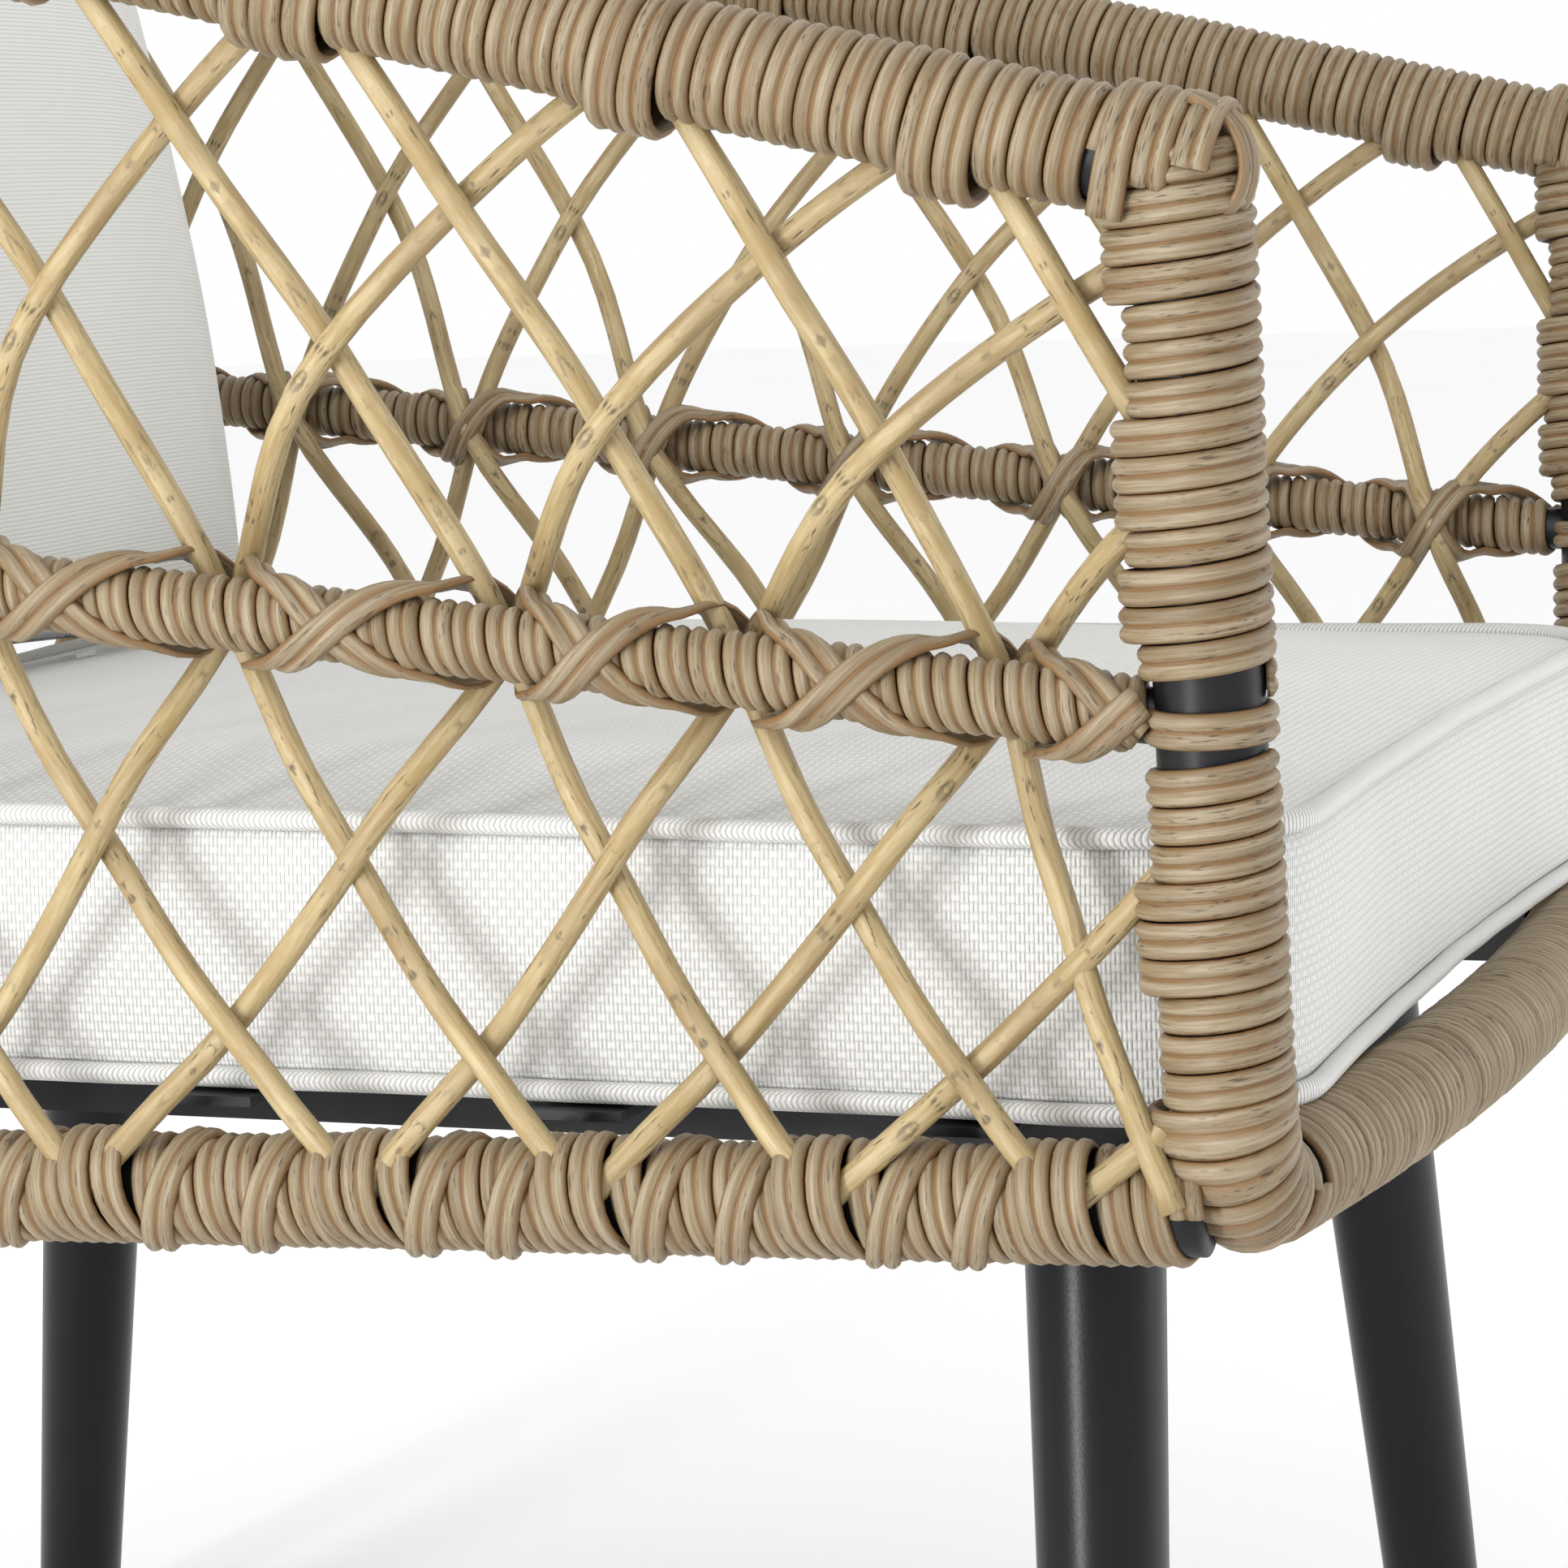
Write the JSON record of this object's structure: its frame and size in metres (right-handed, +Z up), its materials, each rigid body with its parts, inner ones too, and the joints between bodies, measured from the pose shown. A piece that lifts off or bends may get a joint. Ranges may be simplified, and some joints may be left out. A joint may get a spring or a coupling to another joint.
{
  "type": "patio armchair",
  "caption": "Patio armchair: wicker-wrapped steel tube frame with open lattice arms and back, splayed round legs, boxed seat cushion and loose back pillow.",
  "frame": {"origin": "on the floor, under the middle of the chair's bounding box", "axes": "+Z up, the chair faces -Y, +X to the sitter's left"},
  "size_m": [0.6788, 0.7902, 0.8457],
  "materials": {
    "wicker": "matte",
    "frame_steel": "satin",
    "leg_paint": "satin",
    "foot_rubber": "matte",
    "seat_cloth": "matte",
    "pillow_cloth": "matte",
    "foam": "matte",
    "zip_metal": "satin"
  },
  "bodies": {
    "frame": {"front_frame_tube": "frame_steel", "seat_rail_tube": "frame_steel", "middle_rail_tube": "frame_steel", "top_rail_tube": "frame_steel", "rear_upright_lower_left": "frame_steel", "rear_upright_lower_right": "frame_steel", "rear_upright_upper_left": "frame_steel", "rear_upright_upper_right": "frame_steel", "seat_bearer_left": "frame_steel", "seat_bearer_right": "frame_steel", "seat_slat_1": "frame_steel", "seat_slat_2": "frame_steel", "seat_slat_3": "frame_steel", "seat_slat_4": "frame_steel", "seat_slat_5": "frame_steel", "front_leg_plate_left": "frame_steel", "front_leg_plate_right": "frame_steel", "rear_leg_plate_left": "frame_steel", "rear_leg_plate_right": "frame_steel", "front_leg_left": "leg_paint", "front_leg_right": "leg_paint", "rear_leg_left": "leg_paint", "rear_leg_right": "leg_paint", "front_foot_glide_left": "foot_rubber", "front_foot_glide_right": "foot_rubber", "rear_foot_glide_left": "foot_rubber", "rear_foot_glide_right": "foot_rubber", "wrap_post_lower_left": "wicker", "wrap_post_lower_right": "wicker", "wrap_post_upper_left": "wicker", "wrap_post_upper_right": "wicker", "wrap_front_rail": "wicker", "wrap_seat_rail_left": "wicker", "wrap_seat_rail_right": "wicker", "wrap_seat_rail_back": "wicker", "wrap_middle_rail_left": "wicker", "wrap_middle_rail_right": "wicker", "wrap_middle_rail_back": "wicker", "wrap_top_rail_left": "wicker", "wrap_top_rail_right": "wicker", "wrap_top_rail_back": "wicker", "wrap_upright_lower_left": "wicker", "wrap_upright_lower_right": "wicker", "wrap_upright_upper_left": "wicker", "wrap_upright_upper_right": "wicker", "corner_weave_left": "wicker", "corner_weave_right": "wicker", "lattice_side_left": "wicker", "lattice_side_right": "wicker", "lattice_back": "wicker"},
    "seat_cushion": {"seat_cushion_cover": "seat_cloth", "seat_cushion_foam": "foam", "seat_welt_bottom": "seat_cloth", "seat_welt_top": "seat_cloth"},
    "seat_zip": {"seat_zip_pull": "zip_metal"},
    "pillow": {"pillow_cover": "pillow_cloth", "pillow_filling": "foam"},
    "pillow_zip": {"pillow_zip_pull": "zip_metal"}
  },
  "joints": [
    {"name": "seat_cushion_lift", "type": "slide", "parent": "frame", "child": "seat_cushion", "axis": [0, 0, 1], "range_m": [0, 0.5]},
    {"name": "pillow_lift", "type": "slide", "parent": "seat_cushion", "child": "pillow", "axis": [0, 0, 1], "range_m": [0, 0.4]},
    {"name": "seat_zip_open", "type": "slide", "parent": "seat_cushion", "child": "seat_zip", "axis": [-1, 0, 0], "range_m": [0, 0.3]},
    {"name": "pillow_zip_open", "type": "slide", "parent": "pillow", "child": "pillow_zip", "axis": [-1, 0, 0], "range_m": [0, 0.18]}
  ]
}
